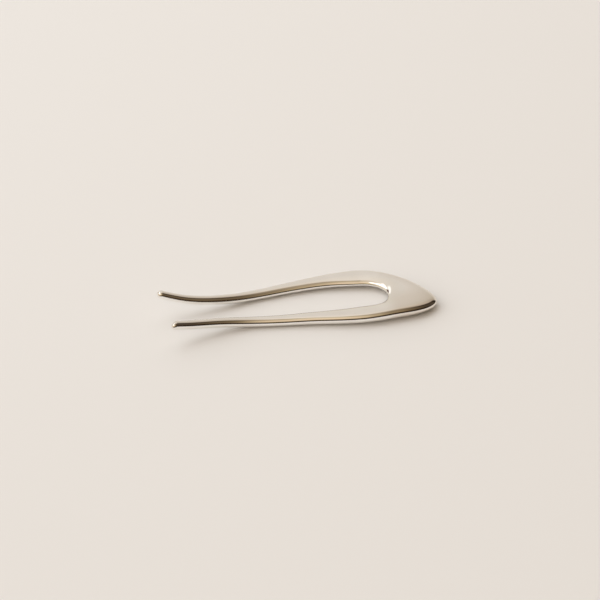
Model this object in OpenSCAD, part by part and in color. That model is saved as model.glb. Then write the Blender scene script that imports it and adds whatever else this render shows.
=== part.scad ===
// Hair fork, cast in one piece and polished: a leaf-shaped head, and two tines that run from it round a long
// slot. It lies flat, the tines' rounded tips towards -X and the head's nose towards +X. Millimetres.

/* [Length] */
// Length from the far tine's tip to the nose of the head
fork_l = 112; // [95:1:135]
// How much shorter the near tine is than the far one
tine_step = 4.4; // [0:0.1:10]
// Metal between the slot's rounded end and the nose
bridge_l = 19.1; // [15:0.1:26]
// Depth of the slot's rounded end
slot_end_l = 11.9; // [8:0.1:13]
// How square the slot's rounded end is, from 2 for a plain ellipse
slot_square = 2.4; // [2:0.05:2.8]

/* [Tines] */
// Gap between the tines at their tips
tip_gap = 16; // [12:0.1:22]
// Gap at the waist, where the tines come closest
waist_gap = 10; // [7:0.1:13]
// Gap where the slot is widest
slot_w = 16; // [13.5:0.1:18]
// Diameter of the tines near their tips
tine_d = 3.6; // [2.6:0.1:4.6]
// Width of a tine beside the slot's rounded end
shoulder_w = 8.6; // [6.5:0.1:12]

/* [Side view] */
// Thickness of the head
head_t = 5; // [3.6:0.1:6.5]
// Height of the tips' underside above the surface that the fork lies on
tip_rise = 10; // [1:0.1:12]
// Height of the arch under the head
arch_h = 0.8; // [0.2:0.1:3]
// How far the whole fork bows sideways, away from its near side
bow_h = 7.9; // [0:0.1:10]

/* [Fineness] */
// Points round each section
section_points = 28; // [16:4:36]
// Sections from one row of the tables to the next
sections_per_row = 5; // [3:1:6]

/* [Hidden] */

// Tine table, a row for each eighth of the way from the tips to the start of the slot's rounded end.
// The gap is the waist's, plus a share of what the tips have more, plus a share of what the slot has more.
// The width is the tip diameter, plus a share of what the shoulder has more.
function tip_share(row) = row[0];
function slot_share(row) = row[1];
function width_share(row) = row[2];
TINE_SHARES = [
    [1.00, 0.00, 0.00],
    [0.35, 0.00, 0.01],
    [0.00, 0.00, 0.06],
    [0.00, 0.02, 0.13],
    [0.00, 0.32, 0.21],
    [0.00, 0.67, 0.31],
    [0.00, 0.84, 0.45],
    [0.00, 1.00, 0.68],
    [0.00, 0.67, 1.00],
];

// Head outline, a share for each sixth of the turn from the shoulder to the nose, seen from the slot's end.
// The outline's reach is the shoulder's, plus this share of what the nose reaches further.
REACH_SHARES = [0.01, 0.08, 0.19, 0.43, 0.78];

// Side table, a row for each tenth of the length from the far tip to the nose: shares of the bow, of the
// tips' rise, of the arch and of the head's extra thickness. The last two swell a section away from a plain
// ellipse: the lean makes its outer edge fuller than its inner one, and the fullness squares off both edges.
function bow_share(row) = row[0];
function rise_share(row) = row[1];
function arch_share(row) = row[2];
function thick_share(row) = row[3];
function lean(row) = row[4];
function fullness(row) = row[5];
SIDE_SHARES = [
    [0.00, 1.00, 0.00, 0.00, 0.00, 0.00],
    [0.27, 0.51, 0.00, 0.02, 0.03, -0.09],
    [0.53, 0.26, 0.00, 0.15, 0.05, -0.10],
    [0.78, 0.02, 0.00, 0.30, 0.07, -0.08],
    [0.88, 0.00, 0.00, 0.15, 0.10, -0.03],
    [0.98, 0.00, 0.04, 0.26, 0.11, 0.04],
    [1.00, 0.00, 0.33, 0.41, 0.16, 0.12],
    [0.96, 0.00, 0.74, 0.42, 0.25, 0.16],
    [0.89, 0.00, 1.00, 0.64, 0.33, 0.13],
    [0.55, 0.00, 0.96, 0.80, 0.38, 0.06],
    [0.09, 0.00, 0.14, 0.94, 0.42, 0.00],
];

TINE_LAST = len(TINE_SHARES) - 1;
HEAD_STEPS = len(REACH_SHARES) + 1;
NOSE_ROW = TINE_LAST + HEAD_STEPS;
TAIL_ROW = 2 * NOSE_ROW;

// The slot's rounded end starts here, and the tips lie half the length the other way
tip_x = -fork_l / 2;
slot_x = fork_l / 2 - bridge_l - slot_end_l;
row_l = (slot_x - tip_x) / TINE_LAST;

// Places along the metal are counted in rows, from the far tip round to the near one
last_at = TAIL_ROW - tine_step / row_l;

tip_sections = 7;
tip_r = tine_d / 2;

function gap_half(row) =
    (waist_gap + (tip_gap - waist_gap) * tip_share(row) + (slot_w - waist_gap) * slot_share(row)) / 2;
function tine_w(row) = tine_d + (shoulder_w - tine_d) * width_share(row);

shoulder_gap = gap_half(TINE_SHARES[TINE_LAST]);
shoulder_r = shoulder_gap + tine_w(TINE_SHARES[TINE_LAST]);
nose_r = slot_end_l + bridge_l;

// Distance to the slot's edge in a direction, on a superellipse
function slot_edge(angle) =
    let (along = cos(angle) / slot_end_l, across = sin(angle) / shoulder_gap)
    pow(pow(along, slot_square) + pow(across, slot_square), -1 / slot_square);
function reach(share) = shoulder_r + (nose_r - shoulder_r) * share;
function head_angle(i) = 90 * (1 - (i + 1) / HEAD_STEPS);
function polar(r, angle) = [slot_x + r * cos(angle), r * sin(angle)];
// The row on the axis is set so that the smooth curve passes exactly through the wanted point
function axis_point(r, beside) = [slot_x + (6 * r - 2 * (beside[0] - slot_x)) / 4, 0];

// Half outlines in plan, from the far tip to the nose
inner_tine = [for (i = [0:TINE_LAST]) [tip_x + i * row_l, gap_half(TINE_SHARES[i])]];
outer_tine = [for (i = [0:TINE_LAST]) inner_tine[i] + [0, tine_w(TINE_SHARES[i])]];
inner_head = [for (i = [0:HEAD_STEPS - 2]) polar(slot_edge(head_angle(i)), head_angle(i))];
outer_head = [for (i = [0:HEAD_STEPS - 2]) polar(reach(REACH_SHARES[i]), head_angle(i))];

// A half outline, its point on the axis, and its mirror image back to the near tip
function whole(half, r) = concat(
    half,
    [axis_point(r, half[len(half) - 1])],
    [for (i = [len(half) - 1:-1:0]) [half[i][0], -half[i][1]]]
);
inner_line = whole(concat(inner_tine, inner_head), slot_end_l);
outer_line = whole(concat(outer_tine, outer_head), nose_r);

// Smooth curve for a column of rows: a uniform cubic B-spline that starts and ends on the first and last row
function smooth(rows, at) =
    let (
        last = len(rows) - 1,
        u = min(max(at, 0), last),
        i = min(floor(u), last - 1),
        f = u - i,
        before = i > 0 ? rows[i - 1] : 2 * rows[0] - rows[1],
        after = i + 2 <= last ? rows[i + 2] : 2 * rows[last] - rows[last - 1]
    )
    (pow(1 - f, 3) * before + (3 * pow(f, 3) - 6 * f * f + 4) * rows[i]
        + (-3 * pow(f, 3) + 3 * f * f + 3 * f + 1) * rows[i + 1] + pow(f, 3) * after) / 6;

function side_at(x) = smooth(SIDE_SHARES, (x - tip_x) / fork_l * (len(SIDE_SHARES) - 1));

function bowed_y(plan) = plan[1] + bow_h * bow_share(side_at(plan[0]));
function underside(side) = tip_rise * rise_share(side) + arch_h * arch_share(side);

// One rounded section across the metal, from the slot's edge to the outline. Size shrinks it near a tip.
function section(at, size) =
    let (
        inner = smooth(inner_line, at),
        outer = smooth(outer_line, at),
        middle = (inner + outer) / 2,
        half = (outer - inner) / 2 * size
    )
    [for (k = [0:section_points - 1])
        let (
            angle = 360 * k / section_points,
            plan = middle + half * cos(angle),
            side = side_at(plan[0]),
            thick = tine_d + (head_t - tine_d) * thick_share(side),
            edge = cos(angle),
            swell = size * (1 + lean(side) * edge + fullness(side) * edge * edge) * sin(angle)
        )
        [plan[0], bowed_y(plan), underside(side) + thick / 2 * (1 + swell)]];

// Rounded tips: sections that close in along a quarter circle
tip_angles = [for (k = [1:tip_sections]) 90 * k / tip_sections];
function tip_back(angle) = tip_r * (1 - cos(angle)) / row_l;
far_tip = [for (a = tip_angles) section(tip_back(a), sin(a))];
near_tip = [for (k = [tip_sections - 1:-1:0]) section(last_at - tip_back(tip_angles[k]), sin(tip_angles[k]))];

body_from = tip_back(90);
body_to = last_at - tip_back(90);
body_steps = TAIL_ROW * sections_per_row;
body_rings = [for (k = [1:body_steps - 1]) section(body_from + (body_to - body_from) * k / body_steps, 1)];

rings = concat(far_tip, body_rings, near_tip);
ring_count = len(rings);

function ring_middle(at) =
    let (plan = (smooth(inner_line, at) + smooth(outer_line, at)) / 2)
    [plan[0], bowed_y(plan), underside(side_at(plan[0])) + tip_r];

module fork() {
    n = section_points;
    far_point = ring_count * n;
    near_point = far_point + 1;
    near_ring = far_point - n;
    points = concat(
        [for (ring = rings) each ring],
        [ring_middle(0), ring_middle(last_at)]
    );
    sides = [for (i = [0:ring_count - 2]) for (k = [0:n - 1])
        let (a = i * n + k, b = i * n + (k + 1) % n)
        each [[a, b + n, b], [a, a + n, b + n]]];
    far_cap = [for (k = [0:n - 1]) [far_point, k, (k + 1) % n]];
    near_cap = [for (k = [0:n - 1]) [near_point, near_ring + (k + 1) % n, near_ring + k]];
    // It lies on its lowest point, evenly about the X axis
    ys = [for (point = points) point[1]];
    zs = [for (point = points) point[2]];
    translate([0, -(min(ys) + max(ys)) / 2, -min(zs)])
        color([0.80, 0.78, 0.74])
            polyhedron(points = points, faces = concat(sides, far_cap, near_cap), convexity = 6);
}

fork();
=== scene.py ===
# %% [markdown]
# # A hair fork in cast, polished metal
# The real thing is one casting: a flat leaf-shaped head with a long slot, and two slim tines that hold a bun.
# A bright metal has hardly any colour of its own. Its look is the room that it mirrors, so this lesson has
# four parts: the exact form, a room worth mirroring, lights for the shadows, and a finish that mirrors well.
#
# The imported model comes first. It is a fixed frame in metres: +X from the tips to the nose, +Y away from
# the viewer, +Z up, and the floor at zero.

# %% Load the imported model
import math

import bpy
import numpy as np
from mathutils import Matrix, Vector


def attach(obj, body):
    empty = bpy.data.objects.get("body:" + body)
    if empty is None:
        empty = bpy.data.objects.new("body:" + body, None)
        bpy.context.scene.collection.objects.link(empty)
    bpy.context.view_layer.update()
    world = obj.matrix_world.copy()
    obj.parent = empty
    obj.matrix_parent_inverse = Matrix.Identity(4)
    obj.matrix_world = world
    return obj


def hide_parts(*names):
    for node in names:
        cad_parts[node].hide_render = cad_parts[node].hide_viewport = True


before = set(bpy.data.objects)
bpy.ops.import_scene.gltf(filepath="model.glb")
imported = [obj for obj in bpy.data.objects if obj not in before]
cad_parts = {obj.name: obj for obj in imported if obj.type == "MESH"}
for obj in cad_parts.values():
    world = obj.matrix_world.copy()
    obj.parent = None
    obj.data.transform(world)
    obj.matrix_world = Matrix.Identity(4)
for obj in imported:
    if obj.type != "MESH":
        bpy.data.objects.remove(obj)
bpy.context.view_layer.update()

scene = bpy.context.scene
MM = 0.001

# %% [markdown]
# ## The camera
# The picture shows the fork from above and in front, small in the middle of the frame. A camera is a point,
# a direction and an angle of view. Three unit vectors give the direction: right, up, and back to the viewer.
# Working them out from an azimuth and an elevation keeps the camera level, with no roll to correct.

# %% Place the camera
CAMERA_AZIMUTH = -8.17
CAMERA_ELEVATION = 40.0
CAMERA_DISTANCE = 561.5 * MM
# The frame is this wide at the aim
FRAME_WIDTH = 240.6 * MM
# The point in the middle of the picture
AIM = Vector((0.75, -1.78, 5.63)) * MM


def camera_axes(azimuth, elevation):
    """The camera's right, up and back directions."""
    a, e = math.radians(azimuth), math.radians(elevation)
    right = Vector((math.cos(a), math.sin(a), 0))
    back = Vector((math.sin(a) * math.cos(e), -math.cos(a) * math.cos(e), math.sin(e)))
    return right, back.cross(right), back


camera_data = bpy.data.cameras.new("camera")
camera_data.angle = 2 * math.atan(FRAME_WIDTH / 2 / CAMERA_DISTANCE)
camera_data.clip_start = 0.01
camera = bpy.data.objects.new("camera", camera_data)
axes = camera_axes(CAMERA_AZIMUTH, CAMERA_ELEVATION)
camera.matrix_world = Matrix.Translation(AIM + CAMERA_DISTANCE * axes[2]) @ Matrix(axes).transposed().to_4x4()
scene.collection.objects.link(camera)
scene.camera = camera
print("angle of view:", round(math.degrees(camera_data.angle), 2), "degrees")

# %% [markdown]
# ## The form: smooth curves from a few rows
# In plan, the fork is two half outlines, the slot's edge and the outer edge, mirrored about the X axis and
# then bowed sideways. They could be drawn as Bezier curves, but short tables with one smooth rule are easier
# to read and to change. The rule is a uniform cubic B-spline: each span blends four neighbouring rows, so
# the curve never has a kink, and a kink is what a mirror finish would show first.

# %% Cubic B-spline through tables
def smooth(rows, at):
    """The B-spline of some rows at places counted in rows. It starts and ends on the first and last row."""
    rows = np.asarray(rows, float)
    last = len(rows) - 1
    spread = np.vstack([2 * rows[:1] - rows[1:2], rows, 2 * rows[-1:] - rows[-2:-1]])
    at = np.clip(np.asarray(at, float), 0, last)
    i = np.minimum(np.floor(at), last - 1).astype(int)
    f = (at - i)[..., None]
    blend = (
        (1 - f) ** 3 * spread[i]
        + (3 * f**3 - 6 * f**2 + 4) * spread[i + 1]
        + (-3 * f**3 + 3 * f**2 + 3 * f + 1) * spread[i + 2]
        + f**3 * spread[i + 3]
    )
    return blend / 6


print("halfway along rows 0, 1, 0:", smooth([[0], [1], [0]], 1)[0])

# %% [markdown]
# ## The plan
# These are the casting's own sizes in millimetres. The tine table has a row for each eighth of the way from
# the tips to the slot's rounded end: half the gap between the tines, and the width of a tine. The head goes
# on in polar form around the start of that end, where a superellipse gives the slot its full, rounded end.

# %% Half outlines in plan
FORK_L, BRIDGE_L, SLOT_END_L = 112, 19.1, 11.9
TINE_STEP = 4.4
TINE_D = 3.6
SLOT_SQUARE = 2.4
HALF_GAP = [8.00, 6.05, 5.00, 5.06, 5.96, 7.01, 7.52, 8.00, 7.01]
TINE_W = [3.60, 3.65, 3.90, 4.25, 4.65, 5.15, 5.85, 7.00, 8.60]
REACH_SHARES = [0.01, 0.08, 0.19, 0.43, 0.78]

tip_x = -FORK_L / 2
slot_x = FORK_L / 2 - BRIDGE_L - SLOT_END_L
row_l = (slot_x - tip_x) / (len(HALF_GAP) - 1)
half_gap = np.array(HALF_GAP)
half_width = half_gap + np.array(TINE_W)
head_steps = len(REACH_SHARES) + 1
turn = np.radians(90 * (1 - np.arange(1, head_steps) / head_steps))
nose_r = SLOT_END_L + BRIDGE_L


def whole_line(beside, radii, end):
    """Mirror a half outline: the tine's rows, the head's rows in polar form, and its point on the axis."""
    tine = np.stack([tip_x + row_l * np.arange(len(beside)), beside], 1)
    head = np.stack([slot_x + radii * np.cos(turn), radii * np.sin(turn)], 1)
    half = np.vstack([tine, head])
    # The row on the axis is set so that the curve passes exactly through the wanted end
    on_axis = slot_x + (6 * end - 2 * (half[-1, 0] - slot_x)) / 4
    return np.vstack([half, [[on_axis, 0]], half[::-1] * [1, -1]])


slot_r = ((np.cos(turn) / SLOT_END_L) ** SLOT_SQUARE + (np.sin(turn) / half_gap[-1]) ** SLOT_SQUARE) ** (
    -1 / SLOT_SQUARE
)
outer_r = half_width[-1] + (nose_r - half_width[-1]) * np.array(REACH_SHARES)
slot_line = whole_line(half_gap, slot_r, SLOT_END_L)
outer_line = whole_line(half_width, outer_r, nose_r)
print("rows in each outline:", len(slot_line), "- one row of a tine is", round(row_l, 2), "mm long")

# %% [markdown]
# ## The side view and the sections
# A second table runs along the length, with a row for each tenth: the sideways bow, the height of the
# underside, the thickness, and two numbers for the section. Lean makes the outer edge fuller than the edge
# on the slot, and fullness squares both edges off. The tines are nearly round wire, and the head is a flat
# pebble with a full rim. The rim matters: where its side turns from up to down, the mirror image jumps from
# the wall overhead to the floor, and that draws the dark line along the fork.

# %% Side table
SIDE = [
    # bow, underside, thickness, lean, fullness
    [0.00, 10.00, 3.60, 0.00, 0.00],
    [2.13, 5.10, 3.63, 0.03, -0.09],
    [4.19, 2.60, 3.81, 0.05, -0.10],
    [6.16, 0.20, 4.02, 0.07, -0.08],
    [6.95, 0.00, 3.81, 0.10, -0.03],
    [7.74, 0.03, 3.96, 0.11, 0.04],
    [7.90, 0.26, 4.17, 0.16, 0.12],
    [7.58, 0.59, 4.19, 0.25, 0.16],
    [7.03, 0.80, 4.50, 0.33, 0.13],
    [4.35, 0.77, 4.72, 0.38, 0.06],
    [0.71, 0.11, 4.92, 0.42, 0.00],
]


def side_at(x):
    """The side table's curves at places along the length."""
    return smooth(SIDE, (x - tip_x) / FORK_L * (len(SIDE) - 1))


print("thickness in mm at the tips, the middle and the nose:", [SIDE[i][2] for i in (0, 5, 10)])

# %% [markdown]
# Each section is a ring of points from the slot's edge to the outer edge. The tines rise steeply towards
# their tips, and an upright ring would shear the round end, and its highlight with it. So the rings lean back
# there until they stand square to the tine. The lean fades out within two rows of the tip.

# %% Sections
LEAN_ROWS = 2
row_last = len(slot_line) - 1
near_end = row_last - TINE_STEP / row_l


def middle_height(at):
    """Height of the metal's middle line at places counted in rows."""
    side = side_at(((smooth(slot_line, at) + smooth(outer_line, at)) / 2)[..., 0])
    return side[..., 1] + side[..., 2] / 2


def ring_lean(at):
    """How far the top of a ring leans back, in rows."""
    reach = 0.05
    slope = (middle_height(at + reach) - middle_height(at - reach)) / (2 * reach * row_l)
    to_tip = np.minimum(at, near_end - at)
    return slope * np.clip(1 - to_tip / LEAN_ROWS, 0, 1) * TINE_D / 2 / row_l


def sections(at, size, points):
    """Rings of points across the metal at places along it. Size shrinks a ring where a tip closes in."""
    size = size[:, None]
    angle = np.linspace(0, 2 * math.pi, points, endpoint=False)
    across, rise = np.cos(angle), np.sin(angle)
    at = at[:, None] - ring_lean(at)[:, None] * size * rise
    slot_edge, outer_edge = smooth(slot_line, at), smooth(outer_line, at)
    middle = (slot_edge + outer_edge) / 2
    half = (outer_edge - slot_edge) / 2 * size[..., None]
    plan = middle + half * across[None, :, None]
    side = side_at(plan[..., 0])
    bow, underside, thick, lean, fullness = np.moveaxis(side, -1, 0)
    swell = size * (1 + lean * across + fullness * across**2) * rise
    return np.stack([plan[..., 0], plan[..., 1] + bow, underside + thick / 2 * (1 + swell)], -1)


print("a ring's top leans back at the far tip by", round(ring_lean(np.array([0.0]))[0] * row_l, 2), "mm")

# %% [markdown]
# ## The mesh
# The rings are joined by quads, from the far tip round the nose to the near tip. Half a millimetre between
# rings and 64 points in each keep the facets far below a pixel, so plain smooth shading is enough, and a
# subdivision modifier would only round the form off. Each tip closes on one last point, along a quarter
# circle. The finished mesh is set on the floor, evenly about the X axis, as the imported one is.

# %% Build the casting
RING_POINTS = 64
RINGS_PER_ROW = 20
TIP_RINGS = 12
# The rings that lean reach past a tip's last point by this much, in rows
TIP_START = 0.12 / row_l


def loft(rings, first, last):
    """Points and faces of a closed skin over rings, with a single point at either end."""
    count, points = rings.shape[:2]
    vertices = np.vstack([rings.reshape(-1, 3), [first, last]])
    here = np.arange(points)
    beside = (here + 1) % points
    faces = []
    for ring in range(count - 1):
        a, b = ring * points, (ring + 1) * points
        faces += np.stack([a + here, b + here, b + beside, a + beside], 1).tolist()
    far, near, near_ring = count * points, count * points + 1, (count - 1) * points
    faces += [[far, k, (k + 1) % points] for k in range(points)]
    faces += [[near, near_ring + (k + 1) % points, near_ring + k] for k in range(points)]
    return vertices, faces


closing = np.linspace(0, math.pi / 2, TIP_RINGS + 1)[1:]
tip_back = TIP_START + TINE_D / 2 * (1 - np.cos(closing)) / row_l
body = np.linspace(tip_back[-1], near_end - tip_back[-1], row_last * RINGS_PER_ROW)[1:-1]
at = np.concatenate([tip_back, body, (near_end - tip_back)[::-1]])
size = np.concatenate([np.sin(closing), np.ones(len(body)), np.sin(closing)[::-1]])
# The ends of the two tips: rings of no size
ends = sections(np.array([TIP_START, near_end - TIP_START]), np.zeros(2), 1)[:, 0]
vertices, faces = loft(sections(at, size, RING_POINTS), *ends)
vertices -= [0, (vertices[:, 1].min() + vertices[:, 1].max()) / 2, vertices[:, 2].min()]

fork_mesh = bpy.data.meshes.new("cast_fork")
fork_mesh.from_pydata((vertices * MM).tolist(), [], faces)
fork_mesh.update()
fork_mesh.polygons.foreach_set("use_smooth", [True] * len(fork_mesh.polygons))
cast_fork = bpy.data.objects.new("cast_fork", fork_mesh)
scene.collection.objects.link(cast_fork)
print("faces:", len(faces), "- box in mm:", vertices.min(0).round(2), vertices.max(0).round(2))

# %% [markdown]
# ## A small kit for node expressions
# Materials here are worked out by nodes, and long chains of Math nodes are hard to read as links. This one
# class wraps a socket, so that Python's own operators add the nodes: 1 - mask * 0.5 is a short chain. Any
# other node comes from its node method, which takes a type, the settings and the values of the sockets.

# %% The socket class
class Wire:
    """An output socket in a node tree, which can be used in Python expressions."""

    def __init__(self, tree, socket=None):
        self.tree, self.socket = tree, socket

    def node(self, kind, settings=None, inputs=None, output=0):
        """Add a node: its type, its settings first, then values or wires for its input sockets."""
        node = self.tree.nodes.new(kind)
        for name, value in (settings or {}).items():
            if name == "stops":
                elements = node.color_ramp.elements
                while len(elements) < len(value):
                    elements.new(1)
                for element, (place, colour) in zip(elements, value):
                    element.position, element.color = place, colour
            elif name == "ramp":
                node.color_ramp.interpolation = value
            else:
                setattr(node, name, value)
        for name, value in (inputs or {}).items():
            if isinstance(value, Wire):
                self.tree.links.new(value.socket, node.inputs[name])
            else:
                node.inputs[name].default_value = value
        return Wire(self.tree, node.outputs[output] if len(node.outputs) else None)

    def math(self, operation, *values):
        return self.node("ShaderNodeMath", {"operation": operation}, dict(enumerate(values)))

    def __add__(self, other):
        return self.math("ADD", self, other)

    def __radd__(self, other):
        return self.math("ADD", other, self)

    def __sub__(self, other):
        return self.math("SUBTRACT", self, other)

    def __rsub__(self, other):
        return self.math("SUBTRACT", other, self)

    def __mul__(self, other):
        return self.math("MULTIPLY", self, other)

    def __rmul__(self, other):
        return self.math("MULTIPLY", other, self)

    def __truediv__(self, other):
        return self.math("DIVIDE", self, other)

    def __rtruediv__(self, other):
        return self.math("DIVIDE", other, self)

    def __neg__(self):
        return self.math("MULTIPLY", self, -1)

    def __abs__(self):
        return self.math("ABSOLUTE", self)

    def split(self):
        """The X, Y and Z of a vector, as three wires."""
        parts = self.node("ShaderNodeSeparateXYZ", None, {0: self}).socket.node
        return [Wire(self.tree, part) for part in parts.outputs]

    def step(self, low, high):
        """0 below low and 1 above high, with a soft S between. Low may be the larger of the two."""
        ends = {"Value": self, "From Min": low, "From Max": high}
        return self.node("ShaderNodeMapRange", {"interpolation_type": "SMOOTHSTEP"}, ends)

    def mix(self, first, second):
        """Two colours, mixed by this wire: the first at 0 and the second at 1."""
        return self.node("ShaderNodeMix", {"data_type": "RGBA"}, {0: self, 6: first, 7: second}, 2)


def tint(red, green, blue, gain=1.0):
    """A display colour from 0 to 255, as the linear colour that a shader works in."""
    shares = (red / 255, green / 255, blue / 255)
    return (*(gain * (c / 12.92 if c <= 0.04045 else ((c + 0.055) / 1.055) ** 2.4) for c in shares), 1.0)


print("pale wall as a linear colour:", [round(c, 3) for c in tint(228, 220, 210)])

# %% [markdown]
# ## The room that the metal mirrors
# The fork lay near a window, with a pale wall behind it and a darker, warm-coloured room on the viewer's
# side. A few boards around the object could stand for that, but boards come into view when the camera moves.
# A world shader is simpler: it gives a colour for each direction, and it lights the scene as well.
# Directions are told by three angles. Turn goes round from the viewer's side, positive to the right.
# Elevation is the height above the horizon. Tilt goes from the viewer's horizon at 0, over the zenith at 90,
# to the horizon behind at 180, and tells the viewer's side of the room from the wall behind.

# %% Directions in the world
world = bpy.data.worlds.new("studio")
world.use_nodes = True
world.node_tree.nodes.clear()
sky = Wire(world.node_tree)
direction = sky.node("ShaderNodeTexCoord", output="Generated")
x, y, z = direction.split()
DEGREES = 180 / math.pi
turn_round = x.math("ARCTAN2", x, -y) * DEGREES
tilt = z.math("ARCTAN2", z, -y) * DEGREES
elevation = z.math("ARCSINE", z) * DEGREES
print("nodes for the directions:", len(world.node_tree.nodes))

# %% [markdown]
# The viewer's side of the room gives the tines their golden and black-brown lines. It is golden and light on
# the left, and falls off to the right and towards the floor. Three ramps hold the colours all round, one for
# each height, and elevation blends them. Close to the floor the room is nearly black: that is the thin dark
# line at the foot of the golden band. A ramp's stops are a turn in degrees and the colour seen there.

# %% The room's colours
ROOM_FOOT = tint(42, 28, 17)


def all_round(stops):
    """A ramp over the turn, from -180 to 180 degrees."""
    places = [((degrees + 180) / 360, tint(*colour)) for degrees, colour in stops]
    return sky.node("ShaderNodeValToRGB", {"stops": places, "ramp": "LINEAR"}, {0: (turn_round + 180) / 360})


low_room = all_round([
    (-60, (206, 192, 168)), (-30, (180, 164, 134)), (-12, (92, 72, 52)), (-3, (68, 51, 36)),
    (28, (58, 45, 32)), (50, (47, 37, 28)), (76, (84, 74, 63)), (93, (82, 72, 61)), (104, (44, 35, 27)),
])
middle_room = all_round([
    (-60, (226, 214, 196)), (-25, (234, 214, 180)), (-5, (226, 203, 170)), (18, (176, 156, 124)),
    (35, (120, 103, 79)), (75, (70, 58, 48)),
])
high_room = all_round([
    (-45, (210, 192, 171)), (-7, (200, 184, 160)), (5, (184, 165, 138)), (40, (168, 151, 126)),
    (75, (148, 133, 112)), (110, (144, 130, 110)),
])
room = elevation.step(20, 45).mix(low_room, middle_room)
room = elevation.step(54, 82).mix(room, high_room)
room_foot = elevation.step(22, 8) * turn_round.step(-60, -30) * turn_round.step(78, 60)
room = room_foot.mix(room, ROOM_FOOT)
print("nodes with the room:", len(world.node_tree.nodes))

# %% [markdown]
# The pale wall begins just behind the zenith, and the top of the head mirrors it. It is lighter overhead and
# at its foot than at eye level, and it ends on the right, which gives the nose its black end.

# %% The wall behind
WALL_FOOT = tint(217, 210, 199)
wall_round = all_round([
    (-180, (217, 210, 201)), (-100, (221, 212, 198)), (100, (160, 147, 132)), (120, (174, 161, 146)),
    (140, (201, 191, 178)), (180, (219, 211, 202)),
])
top_round = all_round([
    (-180, (226, 217, 206)), (-100, (226, 215, 200)), (100, (185, 169, 152)), (142, (219, 207, 191)),
    (180, (227, 218, 207)),
])
wall = tilt.step(128, 100).mix(wall_round, top_round)
wall = (elevation.step(27, 12) * tilt.step(100, 140)).mix(wall, WALL_FOOT)
dark_right = (turn_round + elevation).step(156, 146) * turn_round.step(20, 40) * turn_round.step(120, 111)
behind = tilt.step(84, 95) * (1 - dark_right)
surroundings = behind.mix(room, wall)
print("nodes with the wall:", len(world.node_tree.nodes))

# %% [markdown]
# High on the left, a bright skylight makes the glints on the tips and round the slot's end. Beside it are a
# window pane and a dark curtain, for the small dark fleck in the glint. Each is an opening between four soft
# edges, and an edge is a pair of angles: where it starts from nothing and where it is whole. Below the
# horizon the world takes the floor's colour.

# %% The skylight, the pane and the output
SKYLIGHT = tint(255, 251, 246, 1.5)
PANE = tint(255, 251, 246, 1.15)
CURTAIN = tint(84, 50, 44)
FLOOR_TINT = tint(226, 217, 207)
WORLD_STRENGTH = 1.05


def opening(bottom, top, one_side, other_side):
    """1 between four soft edges and 0 outside them."""
    across = turn_round.step(*one_side) * turn_round.step(*other_side)
    return elevation.step(*bottom) * elevation.step(*top) * across


skylight = opening((48, 54), (71, 66), (-30, -38), (-137, -130))
surroundings = skylight.mix(surroundings, SKYLIGHT)
pane = opening((30, 36), (63, 58), (-158, -153), (-138, -143))
surroundings = pane.mix(surroundings, PANE)
curtain = opening((28, 38), (53, 47), (-144, -139), (-118, -127))
surroundings = curtain.mix(surroundings, CURTAIN)
above_floor = elevation.step(-0.5, 1.0)
surroundings = above_floor.mix(FLOOR_TINT, surroundings)
background = sky.node("ShaderNodeBackground", None, {"Color": surroundings, "Strength": WORLD_STRENGTH})
sky.node("ShaderNodeOutputWorld", None, {"Surface": background})
scene.world = world
print("world nodes:", len(world.node_tree.nodes))

# %% [markdown]
# ## Soft light from the left and behind
# The shadows in the picture are soft and lie towards the viewer, deepest in the slot and under the nose. One
# big lamp gives shadows that are too faint there, and one small lamp draws hard edges. So the light is built
# up as a room's is: two small panes for the deep core of a shadow, the sky behind them for its soft edge, and
# a broad light from the left. All of them are kept out of reflections, because the world already draws what
# the metal mirrors.

# %% Soft lights
DAYLIGHT = (0.80, 0.92, 1.0)
HAZY_SKY = (0.86, 0.935, 1.0)
WARM_WHITE = (1.0, 0.985, 0.99)


def place_light(light_data, azimuth, elevation, distance):
    """Add a light that faces the fork. Azimuth is from straight behind, positive to the right."""
    light = bpy.data.objects.new(light_data.name, light_data)
    a, e = math.radians(azimuth), math.radians(elevation)
    towards = Vector((math.sin(a) * math.cos(e), math.cos(a) * math.cos(e), math.sin(e)))
    light.location = towards * distance
    light.rotation_euler = towards.to_track_quat("Z", "Y").to_euler()
    light.visible_glossy = False
    light.visible_camera = False
    scene.collection.objects.link(light)
    return light


def soft_light(name, azimuth, elevation, distance, width, height, watts, colour):
    """A rectangular lamp."""
    lamp_data = bpy.data.lights.new(name, "AREA")
    lamp_data.shape = "RECTANGLE"
    lamp_data.size, lamp_data.size_y = width, height
    lamp_data.energy, lamp_data.color = watts, colour
    return place_light(lamp_data, azimuth, elevation, distance)


pane_size = {"distance": 0.9, "width": 0.25, "height": 0.25, "watts": 0.26}
sky_size = {"distance": 1.3, "width": 2.2, "height": 1.6, "watts": 5.4}
left_size = {"distance": 1.1, "width": 2.6, "height": 2.6, "watts": 4.6}
lamps = [
    soft_light("window", -80, 66, colour=DAYLIGHT, **pane_size),
    soft_light("second_window", -40, 56, colour=DAYLIGHT, **pane_size),
    soft_light("sky_glow", -20, 46, colour=HAZY_SKY, **sky_size),
    soft_light("left_light", -92, 64, colour=WARM_WHITE, **left_size),
]
print("lamps:", [lamp.name for lamp in lamps])

# %% [markdown]
# Pale walls send light back from low down, and fill the shadow under the raised tips. A lamp that stood there
# would light the floor beside it too brightly, which shows from the side. A sun with a wide angle is as soft,
# and lights the whole floor evenly.

# %% Light from the walls
GLOW_ANGLE = 50


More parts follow.
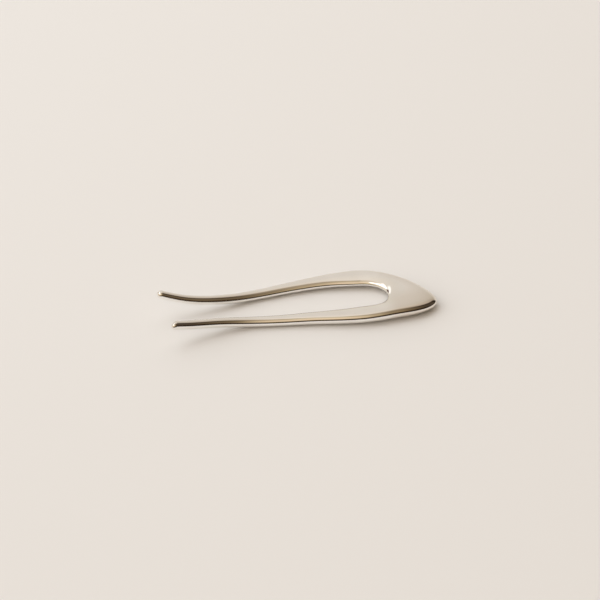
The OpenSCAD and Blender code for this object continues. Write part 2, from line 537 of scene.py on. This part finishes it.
def wall_glow(name, azimuth, elevation, strength, colour):
    """Light from far off, spread over a wide angle, as a pale wall sends back."""
    glow_data = bpy.data.lights.new(name, "SUN")
    glow_data.angle, glow_data.energy, glow_data.color = math.radians(GLOW_ANGLE), strength, colour
    return place_light(glow_data, azimuth, elevation, distance=0)


glows = [
    wall_glow("left_wall", -82, 26, strength=0.85, colour=(0.93, 0.96, 1.0)),
    wall_glow("front_wall", -142, 24, strength=0.2, colour=(1.0, 0.94, 0.88)),
]
print("glows:", [glow.name for glow in glows])

# %% [markdown]
# ## The floor
# The fork lies on a plain pale board. It has no detail of its own, and a matt surface shows the soft
# shadows best.

# %% Floor
FLOOR_SIZE = 6.0
BOARD_COLOUR = (0.788, 0.77, 0.758, 1)
floor_mesh = bpy.data.meshes.new("floor")
h = FLOOR_SIZE / 2
floor_mesh.from_pydata([(-h, -h, 0), (h, -h, 0), (h, h, 0), (-h, h, 0)], [], [(0, 1, 2, 3)])
floor = bpy.data.objects.new("floor", floor_mesh)
scene.collection.objects.link(floor)
floor_finish = bpy.data.materials.new("matt_board")
floor_finish.use_nodes = True
board = floor_finish.node_tree.nodes["Principled BSDF"]
board.inputs["Base Color"].default_value = BOARD_COLOUR
board.inputs["Roughness"].default_value = 0.9
board.inputs["Specular IOR Level"].default_value = 0.1
floor_mesh.materials.append(floor_finish)
print("floor:", FLOOR_SIZE, "m square")

# %% [markdown]
# ## The finish: mirror polish with wear
# Silver plate mirrors about nine tenths of the light, slightly warm. Nothing is a perfect mirror, though: a
# fork that has been worn has fine scratches along its length, a faint haze where it was handled, and a
# surface that the polishing wheel left very slightly wavy. On the head the plate is painted darker and
# warmer, most on the near side, which is painted shade in the head's mirror image. Noise could be painted
# into an image, but noise nodes stay sharp at any distance. All of it is in millimetres of the real object.

# %% Silver plate
silver = bpy.data.materials.new("silver_plate")
silver.use_nodes = True
silver.node_tree.nodes.clear()
metal = Wire(silver.node_tree)
place = metal.node("ShaderNodeTexCoord", output="Object")


def noise(coordinates, per_mm, detail=2.0, roughness=0.5):
    """Soft noise from 0 to 1, with a given number of cells to a millimetre."""
    inputs = {"Vector": coordinates, "Scale": per_mm / MM, "Detail": detail, "Roughness": roughness}
    return metal.node("ShaderNodeTexNoise", None, inputs)


haze = noise(place, 0.09, 3.0).step(0.35, 0.75)
grain = noise(place, 5.0, 2.0)
waves = noise(place, 0.16, 1.0)
print("finish nodes so far:", len(silver.node_tree.nodes))

# %% [markdown]
# A scratch is a place where stretched noise passes through its middle value, so each one comes out as a thin
# line that starts and ends softly. A second, coarser noise leaves them in patches, as wear does. They run
# mostly along the fork, with a few crossing.

# %% Scratches
def scratches(angle, long_mm, wide_mm, fineness, shift):
    """Thin lines in one direction, given in degrees from the fork's length."""
    moved, rotation = (shift * MM, shift * MM, 0), (0, 0, math.radians(angle))
    turned = metal.node("ShaderNodeMapping", None, {"Vector": place, "Location": moved, "Rotation": rotation})
    stretch = {"Vector": turned, "Scale": (wide_mm / long_mm, 1, 1)}
    lines = noise(metal.node("ShaderNodeMapping", None, stretch), 1 / wide_mm, 1.0)
    patches = noise(turned, 0.12, 1.0).step(0.5, 0.62)
    return abs(lines - 0.5).step(fineness, 0) * patches


along_fork = scratches(3, long_mm=9, wide_mm=0.35, fineness=0.012, shift=0)
leaning = scratches(-24, long_mm=6, wide_mm=0.3, fineness=0.010, shift=31)
crossing = scratches(38, long_mm=5, wide_mm=0.3, fineness=0.009, shift=57)
worn = along_fork + leaning + crossing
worn = worn.math("MINIMUM", worn, 1.0)
print("finish nodes with scratches:", len(silver.node_tree.nodes))

# %% [markdown]
# The colour goes from clean plate to dulled plate in the haze and the scratches, and to the painted shade on
# the head: a darker, warmer plate for its darker mirror image. Polished plate has almost no roughness, and
# haze, scratches and grain add a little. The bump is in millimetres too: waves of a hundredth, and scratches
# of about a thousandth.

# %% Colour, roughness and bump
CLEAN = (0.950, 0.935, 0.910, 1)
DULLED = (0.905, 0.880, 0.840, 1)
# Painted shade: a darker, warmer plate on the head, which darkens its mirror image
PAINTED_HEAD_SHADE = (0.840, 0.795, 0.735, 1)
POLISH = 0.022
WAVE_MM, SCRATCH_MM = 0.010, 0.0012

along, across = place.split()[:2]
# The painted shade covers the head, and is strongest on its near side
near_side_shade = across.step(2 * MM, -6 * MM)
head_shade_mask = along.step(33 * MM, 40 * MM) * (0.35 + 0.65 * near_side_shade)
colour = (haze * 0.6 + worn * 0.25).mix(CLEAN, DULLED)
# Painted shade on the head
colour = head_shade_mask.mix(colour, PAINTED_HEAD_SHADE)
roughness = POLISH + haze * 0.03 + worn * 0.10 + grain * 0.01
relief = waves * WAVE_MM - worn * SCRATCH_MM
surface = metal.node("ShaderNodeBump", None, {"Strength": 1.0, "Distance": MM, "Height": relief})
inputs = {"Base Color": colour, "Metallic": 1.0, "Roughness": roughness, "Normal": surface}
shader = metal.node("ShaderNodeBsdfPrincipled", None, inputs)
metal.node("ShaderNodeOutputMaterial", None, {"Surface": shader})
print("finish nodes:", len(silver.node_tree.nodes))

# %% [markdown]
# ## The piece and its body
# The casting gets its finish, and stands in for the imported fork, whose solid stays for collision. It is one
# rigid piece, so it rides on the root body.

# %% Hand the casting over
fork_mesh.materials.append(silver)
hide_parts("fork")
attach(cast_fork, "root")
print("triangles:", 2 * len(faces) - 2 * RING_POINTS)

# %% [markdown]
# ## Tone
# The Standard view shows colours as they are worked out, without a film curve, which suits a pale product
# picture.

# %% Finish
scene.view_settings.view_transform = "Standard"
